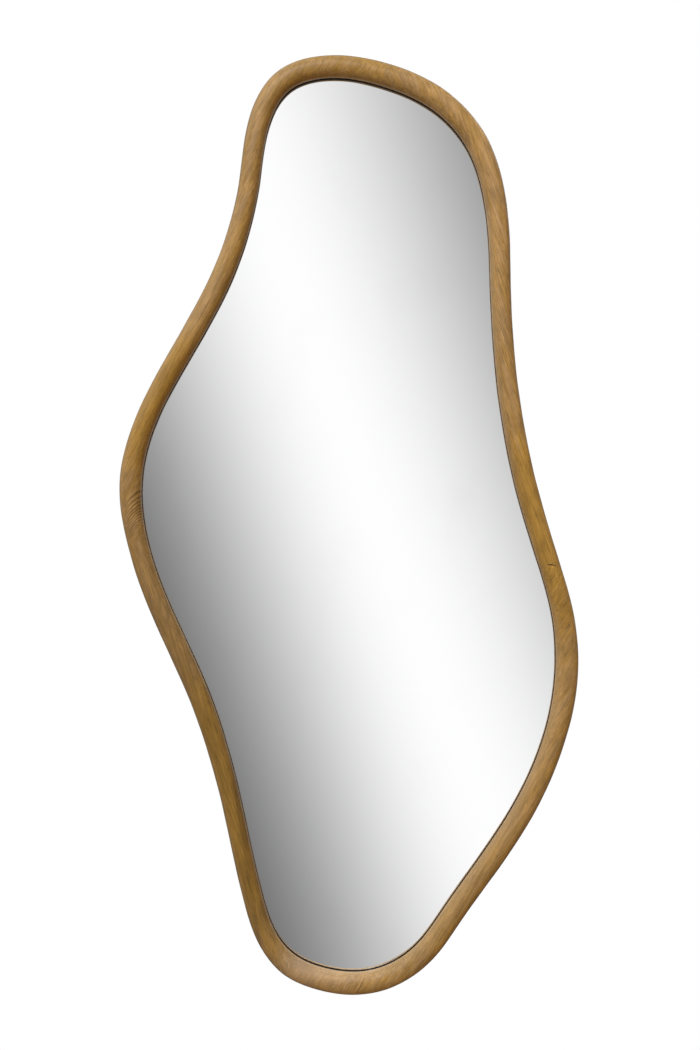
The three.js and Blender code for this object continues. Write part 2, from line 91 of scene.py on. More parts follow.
SILVER_Y = -7.3  # where the silvering seems to lie, seen through four millimetres of glass
GLASS_STATION_STEP = 5
ARRIS = 0.4  # the broken edge of the glass, and of the frame's back beside the backing board

SCREW_RADIUS = 1.5
COUNTERSUNK = [(0, -14), (SCREW_RADIUS, -11), (SCREW_RADIUS, -1.8), (3, -0.3), (3, -0.1), (2.9, 0)]
PAN = [(0, -12), (SCREW_RADIUS, -9), (SCREW_RADIUS, 0), (2.9, 0), (3, 0.1), (3, 1.1), (2.87, 1.45),
       (2.55, 1.7), (2.1, 1.84), (1.95, 1.88)]
PAN_HEAD_HEIGHT = 1.9
RECESS_DEPTH = 1.4
RECESS_MOUTH = (1.6, 0.7)  # reach of the cross's arms and their width, at the head's face and at the bottom
RECESS_FLOOR = (0.6, 0.35)
RING_WIRE_RADIUS = 1.25
RING_INNER_WIDTH = 13
RING_INNER_HEIGHT = 12
RING_CORNER = 2

# ---------------------------------------------------------------------------------------------------------
# The rail
# ---------------------------------------------------------------------------------------------------------


class Rail:
    """The closed centre line through the anchors, with the rail's width, by the distance along it."""

    STEPS_PER_ANCHOR = 200

    def __init__(self, anchors):
        knots = np.array(anchors, float)
        after = np.roll(knots, -1, axis=0)
        spans = np.hypot(*(after - knots)[:, :2].T)
        slopes = self.smooth_slopes(knots, spans)
        t = (np.arange(self.STEPS_PER_ANCHOR) / self.STEPS_PER_ANCHOR)[None, :, None]
        start, end = knots[:, None], after[:, None]
        out, into = slopes[:, None], np.roll(slopes, -1, axis=0)[:, None]
        line = start * (1 + 2 * t) * (1 - t) ** 2 + end * t * t * (3 - 2 * t)
        line += spans[:, None, None] * (out * t * (1 - t) ** 2 + into * t * t * (t - 1))
        line = line.reshape(-1, 3)
        self.line = np.vstack([line, line[:1]])
        steps = np.hypot(*np.diff(self.line[:, :2], axis=0).T)
        self.distances = np.concatenate([[0], np.cumsum(steps)])
        self.length = self.distances[-1]
        self.knot_distances = self.distances[:: self.STEPS_PER_ANCHOR]

    @staticmethod
    def smooth_slopes(knots, spans):
        """Slopes at the knots that give the closed line no steps in its first and second derivatives."""
        count = len(knots)
        matrix = np.zeros((count, count))
        rises = (np.roll(knots, -1, axis=0) - knots) / spans[:, None]
        sides = np.zeros_like(knots)
        for i in range(count):
            before, after = (i - 1) % count, (i + 1) % count
            matrix[i, i] = 2 * (spans[before] + spans[i])
            matrix[i, before] += spans[i]
            matrix[i, after] += spans[before]
            sides[i] = 3 * (spans[i] * rises[before] + spans[before] * rises[i])
        return np.linalg.solve(matrix, sides)

    def at(self, distances):
        """Middles [x, z], ways along, ways towards the glass, and widths at these distances."""
        laps = np.mod(distances, self.length)
        x, z, width = (np.interp(laps, self.distances, column) for column in self.line.T)
        step = 0.5
        ahead, behind = np.mod(laps + step, self.length), np.mod(laps - step, self.length)
        along = np.stack([
            np.interp(ahead, self.distances, column) - np.interp(behind, self.distances, column)
            for column in self.line.T[:2]
        ], axis=-1)
        along /= np.linalg.norm(along, axis=-1, keepdims=True)
        inward = np.stack([along[..., 1], -along[..., 0]], axis=-1)
        return np.stack([x, z], axis=-1), along, inward, width


rail = Rail([anchor for anchors in BOARDS.values() for anchor in anchors])
first_knots = np.cumsum([0] + [len(anchors) for anchors in BOARDS.values()])
board_ends = {name: rail.knot_distances[first_knots[i:i + 2]] for i, name in enumerate(BOARDS)}


def rail_section(half, round_steps=4, nose_steps=44, back_steps=3):
    """The section at half the rail's width: points [across, y], and the turn at each.

    The turn grows from 0 to 1 round the front, to 2 at the glass and 3 in the rebates. It is -1 at the back
    of the outer side and -2 on the back.
    """
    section = []
    for k in range(round_steps + 1):
        angle = k / round_steps * math.pi / 2
        turn = 0.5 * k / round_steps - 1.5
        across = BACK_ROUND * (1 - math.sin(angle)) - half
        section.append((across, BACK_ROUND * (math.cos(angle) - 1), turn))
    for share in (0.33, 0.67):
        section.append((-half, NOSE_Y * share - BACK_ROUND * (1 - share), share - 1))
    for k in range(nose_steps + 1):
        angle = k / nose_steps * math.pi
        section.append((-half * math.cos(angle), NOSE_Y - NOSE_DEPTH * math.sin(angle), k / nose_steps))
    for k in range(1, round_steps + 1):
        angle = k / round_steps * math.pi / 2
        y = NOSE_Y + (GLASS_SEAT_Y - NOSE_Y) * math.sin(angle)
        section.append((half - UNDERCUT * (1 - math.cos(angle)), y, 1 + k / round_steps))
    rebate, seat = half - GLASS_STEP, half - GLASS_STEP - BACKING_STEP
    section += [(rebate, GLASS_SEAT_Y, 2), (rebate, BACKING_SEAT_Y, 3), (seat, BACKING_SEAT_Y, 3),
                (seat, -ARRIS, 3), (seat - ARRIS, 0, -2)]
    for k in range(1, back_steps):
        section.append((seat + (BACK_ROUND - half - seat) * k / back_steps, 0, -2))
    return np.array(section)


# ---------------------------------------------------------------------------------------------------------
# Meshes
# ---------------------------------------------------------------------------------------------------------


def skin(rings, count, closed=False):
    """Faces that join rings of points, numbered ring after ring. A loop that isn't closed gets caps."""
    faces = []
    for i in range(rings if closed else rings - 1):
        here, there = i * count, (i + 1) % rings * count
        for j in range(count):
            after = (j + 1) % count
            faces.append((here + j, here + after, there + after, there + j))
    if not closed:
        faces += [tuple(range(count)), tuple(range((rings - 1) * count, rings * count))]
    return faces


def add_piece(name, mesh, material, body="mirror", stands_for=(), sharp=35):
    """Shows a mesh as a piece that rides on a body and stands for CAD nodes."""
    mesh.materials.append(material)
    mesh.shade_smooth()
    mesh.set_sharp_from_angle(angle=math.radians(sharp))
    piece = bpy.data.objects.new(name, mesh)
    bpy.context.scene.collection.objects.link(piece)
    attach(piece, body)
    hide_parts(*stands_for)
    return piece


def closed_mesh(name, points, faces):
    """A mesh from points in millimetres, with its faces turned outwards."""
    mesh = bpy.data.meshes.new(name)
    mesh.from_pydata((np.asarray(points, float) * MM).tolist(), [], faces)
    body = bmesh.new()
    body.from_mesh(mesh)
    bmesh.ops.recalc_face_normals(body, faces=body.faces)
    body.to_mesh(mesh)
    body.free()
    return mesh


def store(mesh, name, values):
    """Keeps three numbers at each point, for the material to read."""
    attribute = mesh.attributes.new(name, "FLOAT_VECTOR", "POINT")
    attribute.data.foreach_set("vector", values.astype(np.float32).ravel())


# ---------------------------------------------------------------------------------------------------------
# Materials
# ---------------------------------------------------------------------------------------------------------


class Shader:
    """A node tree in the making. Each method adds nodes and returns the socket that holds their result."""

    def __init__(self, holder):
        holder.use_nodes = True
        self.holder = holder
        self.tree = holder.node_tree
        self.tree.nodes.clear()

    @classmethod
    def of_slot(cls, slot):
        """The tree of a new material for one of the record's material slots."""
        material = bpy.data.materials.new(slot + "_finish")
        material["slot"] = slot
        return cls(material)

    def add(self, kind, inputs=None, output=0, **settings):
        """A node with sockets linked or set as inputs say. Returns the output asked for."""
        node = self.tree.nodes.new("ShaderNode" + kind)
        for key, value in settings.items():
            setattr(node, key, value)
        for key, value in (inputs or {}).items():
            if isinstance(value, bpy.types.NodeSocket):
                self.tree.links.new(value, node.inputs[key])
            else:
                node.inputs[key].default_value = value
        return node.outputs[output] if node.outputs else None

    def math(self, operation, *values):
        return self.add("Math", dict(enumerate(values)), operation=operation)

    def vector(self, operation, *values, output=0):
        return self.add("VectorMath", dict(enumerate(values)), output, operation=operation)

    def scaled(self, place, factor):
        return self.add("VectorMath", {0: place, "Scale": factor}, operation="SCALE")

    def attribute(self, name):
        return self.add("Attribute", output="Vector", attribute_name=name)

    def position(self):
        """The point in the mirror's own frame, in millimetres."""
        return self.scaled(self.add("TexCoord", output="Object"), 1 / MM)

    def parts(self, vector):
        node = self.tree.nodes.new("ShaderNodeSeparateXYZ")
        self.tree.links.new(vector, node.inputs[0])
        return node.outputs

    def noise(self, place, sizes, detail=2.0, output="Fac"):
        """Noise of about 0.5, with grains of these sizes along the three axes."""
        shrunk = self.vector("MULTIPLY", place, tuple(1 / size for size in sizes))
        return self.add("TexNoise", {"Vector": shrunk, "Scale": 1.0, "Detail": detail}, output)

    def between(self, value, low, high, from_zero=0.0, to_one=1.0):
        """A smooth step from one value at low to the other at high."""
        inputs = {"Value": value, 1: low, 2: high, 3: from_zero, 4: to_one}
        return self.add("MapRange", inputs, interpolation_type="SMOOTHSTEP")

    def mix(self, factor, a, b, blend="MIX"):
        return self.add("Mix", {0: factor, 6: a, 7: b}, 2, data_type="RGBA", blend_type=blend)

    def shaded(self, value, mask, more):
        """The value, raised by this share of itself where the mask is one, or lowered if it is negative."""
        return self.math("MULTIPLY", value, self.math("MULTIPLY_ADD", mask, more, 1.0))

    def ramp(self, value, stops):
        node = self.tree.nodes.new("ShaderNodeValToRGB")
        self.tree.links.new(value, node.inputs[0])
        points = node.color_ramp.elements
        while len(points) < len(stops):
            points.new(0.5)
        for point, (place, colour) in zip(points, stops):
            point.position = place
            point.color = colour
        return node.outputs[0]

    def spot(self, place, x, z, width, height, lean=0.0):
        """One inside an ellipse on the front, none outside it. Lean is in degrees, clockwise."""
        inputs = {"Vector": place, "Location": (x, 0, z), "Rotation": (0, math.radians(lean), 0),
                  "Scale": (width, 1e6, height)}
        local = self.add("Mapping", inputs, vector_type="TEXTURE")
        return self.between(self.vector("LENGTH", local, output="Value"), 1.0, 0.3)

    def finish(self, colour, roughness, height=None, depth=0.1, **constants):
        """The surface: colour and roughness from nodes, relief in millimetres, other inputs as given."""
        inputs = {"Base Color": colour, "Roughness": roughness, **constants}
        if height is not None:
            inputs["Normal"] = self.add("Bump", {"Height": height, "Strength": 1.0, "Distance": depth * MM})
        surface = self.add("BsdfPrincipled", inputs)
        self.add("OutputMaterial", {"Surface": surface})
        return self.holder


def grey(value):
    return (value, value, value, 1)


# Dark and light marks on the front of the frame, some of them painted highlights and shade: x, z, half
# width, half height, lean, and how light or dark
MARKS_AND_PAINTED_LIGHT = [
    (260.0, 463.2, 1.7, 0.9, 60, -0.8),
    (258.6, 460.6, 1.3, 1.0, 0, 0.35),
    (257.0, 481.0, 0.8, 14, -27, 0.18),
    (259.2, 481.5, 0.7, 14, -27, -0.25),
    (266.0, 250.0, 0.8, 16, -28, -0.25),
    (267.0, 292.0, 0.9, 6, -24, 0.2),
    # A painted highlight on the outer side of the upper-right bend
    (224.0, 668.0, 9.0, 55, -33, 0.13),
    (216.0, 702.0, 1.4, 22, -28, 0.14),
    (228.0, 668.0, 1.2, 26, -22, 0.16),
    (236.0, 612.0, 1.2, 28, -20, 0.14),
    # The opened joint: dark, partly its gap and partly painted shade of the step; beside it painted
    # highlights
    (340.8, -67.2, 7.5, 1.5, 0, -0.85),
    (347.0, -68.6, 4.6, 1.3, 15, -0.7),
    (342.0, -70.9, 7.5, 1.5, 0, 0.35),
    (341.0, -64.6, 5.0, 0.8, 0, 0.2),
    (340.0, -37.0, 1.2, 24, -21, 0.22),
    (333.5, -50.0, 1.1, 16, -17, 0.18),
    (337.5, -40.0, 1.0, 18, -20, -0.2),
    (344.5, -90.0, 1.2, 10, 38, -0.45),
    (361.5, -87.0, 1.3, 8, 22, 0.25),
    (363.0, -90.0, 1.1, 8, 22, -0.4),
    (366.0, -134.0, 1.2, 9, 42, -0.5),
    (375.0, -178.0, 1.1, 11, 38, 0.3),
    (370.5, -171.0, 1.2, 10, 40, -0.5),
    (374.0, -171.0, 1.0, 7, -35, -0.4),
    # A light fleck across the rail, with a painted shadow beside it
    (16.0, -780.2, 1.7, 20, 27.7, 0.38),
    (18.9, -781.4, 1.5, 20, 27.7, -0.5),
    (49.0, -780.0, 2.6, 14, 38, -0.14),
    (96.0, -768.0, 2.0, 16, 40, -0.14),
    (120.0, -742.0, 1.6, 22, 48, -0.16),
    (-12.0, -786.0, 2.2, 8, 18, -0.22),
    (-19.0, -784.0, 1.6, 5, 12, 0.2),
    (-42.0, -766.0, 20, 1.8, -14, 0.2),
    (-74.0, -780.0, 3.0, 9, 30, -0.18),
    (-110.5, -747.0, 1.5, 13, -18, 0.26),
    (-113.5, -749.0, 1.2, 13, -18, -0.25),
    (-101.0, -749.0, 1.4, 11, -14, 0.24),
    (-97.5, -748.0, 1.2, 11, -8, -0.22),
    (-106.0, -744.0, 1.2, 10, -16, -0.2),
    (-86.5, 757.0, 0.7, 5, 25, 0.25),
    (13.0, 783.5, 0.9, 3.5, 40, 0.14),
    (22.0, 782.0, 0.9, 3.0, 55, 0.14),
    (41.0, 777.0, 0.9, 3.5, 70, 0.12),
]

RING_SCALE = 33.4  # the first ring's radius; further out the rings lie closer
RING_CROWDING = 2.5
# Where growth rings stand out more: x, z, half width, half height, and by how much
FIGURE = [(262, 330, 30, 90, 0.15), (356, -150, 34, 70, 0.2), (-30, -772, 90, 30, 0.15)]
# Where the wood is mustard and not tan: x, z, half width, half height, and how much
MUSTARD = [
    (340, 10, 110, 260, 0.9),
    (-215, -500, 150, 330, 1.0),
    (-335, 215, 110, 200, 0.7),
    (-30, 800, 260, 60, 0.3),
]
# Where whole stretches are paler or deeper, likewise; the two at the foot are painted light
TONE_AND_PAINTED_LIGHT = [(-20, -775, 120, 45, 0.02), (-20, -760, 110, 20, 0.18), (-365, 40, 40, 110, -0.06)]
FOOT_LIGHT_SPOT = (-45, -748, 110, 42)  # painted light: the foot's up-facing side paler: x, z, half width, half height
AWAY_FROM_LAMP_WAY = (0.75, 0.0, -0.66)  # the way that the sides painted in shade face, away from the key lamp

# Colours of the wood. The first of a pair is mustard and the second a pinkish tan
EARLY_WOOD = ((0.40, 0.222, 0.045, 1), (0.437, 0.264, 0.11, 1))
LATE_WOOD = ((0.14, 0.06, 0.01, 1), (0.17, 0.078, 0.018, 1))
CURLED_WOOD = (0.12, 0.055, 0.008, 1)
# Painted light: paler colours for the foot, the sides towards the key lamp and the sight edge
PAINTED_FOOT_LIGHT_WOOD = (0.62, 0.47, 0.36, 1)
PAINTED_LIGHT_WOOD = (0.47, 0.33, 0.18, 1)
EDGE_HIGHLIGHT_WOOD = (0.5, 0.34, 0.18, 1)
# Painted shade: near-black for the recess beside the glass
RECESS_SHADE_WOOD = (0.012, 0.007, 0.004, 1)
BARE_WOOD = (0.42, 0.29, 0.16, 1)
# Painted shade: tints for the sides away from the key lamp
PAINTED_SHADE_TINT = (0.8, 0.66, 0.24, 1)
DEEPEST_PAINTED_SHADE_TINT = (0.86, 0.8, 0.45, 1)


def curled_rings(wood, place):
    """Dark lines of close growth rings that curl over the left bend, closer together towards the joint."""
    FOOT_X, STEEPNESS, CURL = -358.3, 0.72, 0.0211
    TOP_Z, SPAN, CROWDING = 70.0, 16.65, 1.6
    x, _, z = wood.parts(place)
    out = wood.math("SUBTRACT", FOOT_X, x)
    fall = wood.math("MULTIPLY", out, wood.math("MULTIPLY_ADD", out, CURL, STEEPNESS))
    wander = wood.math("MULTIPLY_ADD", wood.noise(place, (9, 9, 14), 2.0), 5.0, -2.5)
    level = wood.math("ADD", wood.math("ADD", z, fall), wander)
    below = wood.math("MAXIMUM", wood.math("SUBTRACT", TOP_Z, level), 0.0)
    ring = wood.math("FRACT", wood.math("POWER", wood.math("DIVIDE", below, SPAN), CROWDING))
    line = wood.math("MULTIPLY", wood.between(ring, 0.5, 0.75), wood.between(ring, 1.0, 0.92))
    reach = wood.math("MULTIPLY", wood.between(out, 24.0, 8.0), wood.between(level, -8.0, 4.0))
    reach = wood.math("MULTIPLY", reach, wood.between(level, 66.0, 54.0))
    return wood.math("MULTIPLY", line, reach)


def oiled_wood():
    """Honey-coloured wood, oiled to a satin sheen, with growth rings, fibres, pores, ticks and marks."""
    wood = Shader.of_slot("oiled_wood")
    timber = wood.attribute("timber")
    turn, tone, from_end = wood.parts(wood.attribute("where"))
    place = wood.position()

    # Growth rings round the heart of the tree, which wander a little
    centre = (-0.5, -0.5, -0.5)
    waves = wood.vector("ADD", wood.noise(timber, (80, 80, 500), 1.0, "Color"), centre)
    ripples = wood.vector("ADD", wood.noise(timber, (11, 11, 90), 1.0, "Color"), centre)
    wander = wood.vector("ADD", wood.scaled(waves, 9.0), wood.scaled(ripples, 1.3))
    heart = wood.vector("ADD", timber, wander)
    radius = wood.vector("LENGTH", wood.vector("MULTIPLY", heart, (1, 1, 0)), output="Value")
    ring = wood.math("FRACT", wood.math("POWER", wood.math("DIVIDE", radius, RING_SCALE), RING_CROWDING))
    late = wood.ramp(ring, [(0.0, grey(0.6)), (0.12, grey(0.06)), (0.5, grey(0.0)), (0.75, grey(0.25)),
                            (0.92, grey(1.0)), (1.0, grey(0.9))])

    # Fibres, pores and short dark ticks along the grain
    fibres = wood.noise(timber, (0.6, 0.6, 26), 3.0)
    strands = wood.noise(timber, (3.2, 3.2, 60), 2.0)
    pores = wood.between(wood.noise(timber, (0.22, 0.22, 3.5), 1.0), 0.6, 0.74)
    pores = wood.math("MULTIPLY", pores, wood.math("SUBTRACT", 1.0, late))
    ticks = wood.between(wood.noise(timber, (1.5, 1.5, 13), 1.0), 0.59, 0.68)

    # Rings stand out in places
    contrast = wood.between(wood.noise(place, (70, 70, 110), 1.0), 0.35, 0.75, 0.05, 0.24)
    for x, z, width, height, more in FIGURE:
        contrast = wood.math("MULTIPLY_ADD", wood.spot(place, x, z, width, height), more, contrast)

    # Mustard and pinkish tan run into each other along the grain
    hue = wood.between(wood.noise(timber, (9, 9, 110), 2.0), 0.3, 0.72, 0.35, 1.0)
    for x, z, width, height, less in MUSTARD:
        hue = wood.math("MULTIPLY_ADD", wood.spot(place, x, z, width, height), -less, hue)
    early = wood.mix(hue, *EARLY_WOOD)
    dark = wood.mix(hue, *LATE_WOOD)
    colour = wood.mix(wood.math("MULTIPLY", late, contrast), early, dark)
    curls = curled_rings(wood, place)
    colour = wood.mix(wood.math("MULTIPLY", curls, 0.8), colour, CURLED_WOOD)
    shade = wood.math("MULTIPLY", tone, wood.between(strands, 0.3, 0.7, 0.82, 1.16))
    shade = wood.math("MULTIPLY", shade, wood.between(fibres, 0.3, 0.7, 0.88, 1.1))
    shade = wood.shaded(shade, pores, -0.25)
    shade = wood.shaded(shade, ticks, -0.2)
    patches = wood.noise(place, (26, 26, 38), 2.0)
    shade = wood.math("MULTIPLY", shade, wood.between(patches, 0.3, 0.7, 0.88, 1.1))
    # Paler and deeper stretches; those at the foot are painted light
    for x, z, width, height, more in TONE_AND_PAINTED_LIGHT:
        shade = wood.shaded(shade, wood.spot(place, x, z, width, height), more)

    # Small marks on the front, some of them painted highlights and shadows
    front = wood.between(wood.parts(place)[1], -8.0, -14.0)
    for x, z, width, height, lean, strength in MARKS_AND_PAINTED_LIGHT:
        mark = wood.math("MULTIPLY", wood.spot(place, x, z, width, height, lean), front)
        shade = wood.shaded(shade, mark, strength)

    # Painted shade where the front meets the outer side, widest at the top and foot. Oil lies darker in the
    # joints
    tall = wood.between(wood.math("ABSOLUTE", wood.parts(place)[2]), 250.0, 780.0, 0.0, 0.06)
    rim = wood.between(wood.math("SUBTRACT", turn, tall), 0.17, 0.06)
    rim = wood.math("MULTIPLY", rim, wood.between(turn, -0.9, 0.05, 0.2, 1.0))
    shade = wood.shaded(shade, rim, -0.45)
    shade = wood.math("MULTIPLY", shade, wood.between(from_end, 0.0, 0.7, 0.88, 1.0))
    colour = wood.mix(1.0, colour, shade, "MULTIPLY")

    # Painted shade: the sides that face right and down, away from the key lamp, are darker and more
    # saturated.
    # Painted light: the foot's up-facing inner side is paler and greyer, and the sides facing the lamp are
    # paler
    facing = wood.vector("DOT_PRODUCT", wood.add("TexCoord", output="Normal"), AWAY_FROM_LAMP_WAY, output="Value")
    painted_shade_colour = wood.mix(1.0, colour, PAINTED_SHADE_TINT, "MULTIPLY")
    painted_shade_share = wood.between(turn, -0.7, 0.1, 0.35, 1.0)
    painted_shade_share = wood.math("MULTIPLY", wood.between(facing, 0.1, 0.95), painted_shade_share)
    colour = wood.mix(painted_shade_share, colour, painted_shade_colour)
    deepest_painted_shade = wood.mix(1.0, colour, DEEPEST_PAINTED_SHADE_TINT, "MULTIPLY")
    colour = wood.mix(wood.between(facing, 0.6, 0.95), colour, deepest_painted_shade)
    # Painted light on the foot's up-facing side
    painted_foot_light = wood.mix(0.24, colour, PAINTED_FOOT_LIGHT_WOOD)
    colour = wood.mix(wood.spot(place, *FOOT_LIGHT_SPOT), colour, painted_foot_light)
    # Painted light on the sides facing up and left, towards the key lamp
    painted_light_colour = wood.mix(0.3, colour, PAINTED_LIGHT_WOOD)
    colour = wood.mix(wood.between(facing, -0.15, -0.85), colour, painted_light_colour)

    # The sight edge gets a painted highlight, the wood behind it by the glass painted shade, and the back
    # is bare
    painted_edge_highlight = wood.math("MULTIPLY", wood.between(turn, 0.88, 0.96), wood.between(turn, 1.2, 1.02))
    colour = wood.mix(wood.math("MULTIPLY", painted_edge_highlight, 0.35), colour, EDGE_HIGHLIGHT_WOOD)
    painted_recess_shade = wood.math("MULTIPLY", wood.between(turn, 1.25, 1.6), wood.between(turn, 3.0, 2.0))
    colour = wood.mix(painted_recess_shade, colour, RECESS_SHADE_WOOD)
    bare = wood.between(turn, -1.6, -1.9)
    colour = wood.mix(wood.math("MULTIPLY", bare, 0.6), colour, BARE_WOOD)

    height = wood.math("MULTIPLY_ADD", late, 0.35, wood.math("MULTIPLY", fibres, 0.5))
    height = wood.math("MULTIPLY_ADD", pores, -0.8, height)
    roughness = wood.math("MULTIPLY_ADD", fibres, 0.16, 0.36)
    roughness = wood.math("MULTIPLY_ADD", bare, 0.3, roughness)
    return wood.finish(colour, roughness, height, 0.08, **{"Specular IOR Level": 0.22})


def silvered_glass():
    """Silvering behind clear glass, with the faintest haze of dust."""
    glass = Shader.of_slot("mirror_glass")
    haze = glass.noise(glass.position(), (120, 120, 160), 4.0)
    roughness = glass.between(haze, 0.45, 0.8, 0.004, 0.02)
    colour = glass.mix(glass.between(haze, 0.5, 0.9), (0.985, 0.99, 0.987, 1), (0.95, 0.955, 0.95, 1))
    return glass.finish(colour, roughness, Metallic=1.0)


def plated(name, tint, lift):
    """Zinc or brass plate on steel: drawn scratches, and blooms of different dullness."""
    metal = Shader.of_slot(name)
    place = metal.position()
    scratches = metal.noise(place, (0.12, 0.12, 3.0), 3.0)
    blooms = metal.noise(place, (2.5, 2.5, 2.5), 3.0)
    darker = tuple(value * 0.72 for value in tint) + (1,)
    colour = metal.mix(metal.between(blooms, 0.3, 0.75), darker, (*tint, 1))
    roughness = metal.math("MULTIPLY_ADD", blooms, 0.25, lift)
    return metal.finish(colour, roughness, scratches, 0.01, Metallic=1.0)


def hard_fibreboard():
    """Brown fibreboard: pressed fibres, darker flecks, and a slightly scuffed face."""
    board = Shader.of_slot("backing_board")
    place = board.position()
    fibres = board.noise(place, (0.9, 0.9, 0.9), 6.0)
    flecks = board.between(board.noise(place, (1.4, 1.4, 2.6), 3.0), 0.58, 0.7)
    clouds = board.noise(place, (90, 90, 120), 4.0)
    colour = board.mix(board.between(clouds, 0.3, 0.7), (0.185, 0.104, 0.052, 1), (0.22, 0.126, 0.065, 1))
    colour = board.mix(board.math("MULTIPLY", flecks, 0.55), colour, (0.09, 0.045, 0.02, 1))
    scuffs = board.between(board.noise(place, (1.2, 40, 26), 3.0), 0.64, 0.74)
    scuffed = board.between(board.noise(place, (60, 60, 60), 2.0), 0.45, 0.65)
    scuffs = board.math("MULTIPLY", scuffs, scuffed)
    colour = board.mix(board.math("MULTIPLY", scuffs, 0.4), colour, (0.42, 0.28, 0.17, 1))
    colour = board.mix(board.between(fibres, 0.55, 0.75, 0.0, 0.4), colour, (0.33, 0.21, 0.12, 1))
    roughness = board.between(clouds, 0.3, 0.7, 0.62, 0.8)
    return board.finish(colour, roughness, fibres, 0.06)


def speckled(name, base, light, grain, roughness, depth):
    """Rubber, foam or bare dowel wood: two tones in fine grains."""
    stuff = Shader.of_slot(name)
    grains = stuff.noise(stuff.position(), grain, 4.0)
    colour = stuff.mix(stuff.between(grains, 0.35, 0.7), (*base, 1), (*light, 1))
    rough = stuff.math("MULTIPLY_ADD", grains, 0.2, roughness)
    return stuff.finish(colour, rough, grains, depth)


WOOD = oiled_wood()
GLASS = silvered_glass()
ZINC = plated("zinc_steel", (0.62, 0.63, 0.65), 0.2)
BRASS = plated("brass_plate", (0.72, 0.53, 0.24), 0.18)
BACKING = hard_fibreboard()
RUBBER = speckled("rubber", (0.022, 0.022, 0.023), (0.05, 0.05, 0.052), (0.5, 0.5, 0.5), 0.6, 0.03)
FOAM = speckled("packing_foam", (0.05, 0.05, 0.052), (0.09, 0.09, 0.092), (0.7, 0.7, 0.7), 0.75, 0.1)
PEG = speckled("dowel_wood", (0.5, 0.31, 0.13), (0.62, 0.41, 0.19), (0.4, 0.4, 4.0), 0.5, 0.03)

# ---------------------------------------------------------------------------------------------------------
# The frame
# ---------------------------------------------------------------------------------------------------------

# How each board was cut from its tree: the grain's way [x, z], the heart's distance and bearing from the
# board's middle, in degrees from the plane of the frame towards the viewer, how light the board is, and
# how much darker towards the glass it is painted, as painted shade
TIMBER = {
    "upper_right": ((0.326, -0.946), 85, 35, 0.92, 0.2),
    "lower_right": ((-0.515, -0.857), 75, -30, 0.88, 0.08),
    "lower_left": ((-0.31, 0.95), 95, 25, 0.59, 0.0),
    "upper_left": ((0.479, 0.878), 80, -38, 0.82, 0.06),
}
TONE_BLEND = 90.0  # over this length at a joint, a board's lightness becomes its neighbour's
STATION_STEP = 4.0
JOINT_GAP = 0.02
JOINT_ARRIS = 0.08
JOINT_FADE = 3  # over this length a board's end leaves its true place for the gap
OPENED_ENDS = {("lower_right", True), ("upper_right", False)}  # two boards, and whether at their start
OPENING = 0.08
OPENING_TURN, OPENING_REACH = 0.47, 0.1
END_OFFSETS = (0, 0.1, 0.2, 0.35, 0.6, 1.0, 1.8, 3.0)  # finer stations beside a joint


def relief(distances, turns):
    """How far hand sanding left the front from its true section, by the distance round and the turn."""
    lap = 2 * math.pi * distances[:, None] / rail.length
    angle = math.pi * turns[None, :]
    waves = [(23, 1.1, 0.0, 0.10), (41, -1.7, 1.3, 0.07), (67, 2.6, 4.0, 0.05), (13, -0.8, 2.2, 0.08)]
    return sum(size * np.sin(lap * count + angle * twist + phase) for count, twist, phase, size in waves)


def joint_opening(name, at_start, turns):
    """How far a board's end stands back from its joint, round the front. One joint has opened a little."""
    gap = np.full(len(turns), JOINT_GAP)
    if (name, at_start) in OPENED_ENDS:
        gap += OPENING * np.exp(-(((turns - OPENING_TURN) / OPENING_REACH) ** 2))
    return gap


def board_tone(name, from_start, to_end, turns):
    """How light the wood is at these distances from the board's ends and turns, with painted shade by the
    glass.
    """
    names = list(BOARDS)
    place = names.index(name)

    def tones(board):
        *_, light, less = TIMBER[board]
        # The side towards the glass is painted darker, as painted shade
        return light * (1 - less * np.clip((turns - 0.45) / 0.4, 0, 1))

    own = tones(name)
    tone = np.broadcast_to(own, (len(from_start), len(turns))).copy()
    for away, neighbour in ((from_start, names[place - 1]), (to_end, names[(place + 1) % len(names)])):
        near = np.clip(1 - away / TONE_BLEND, 0, 1)
        tone += (near * near * (3 - 2 * near))[:, None] * (tones(neighbour) - own) / 2
    return tone


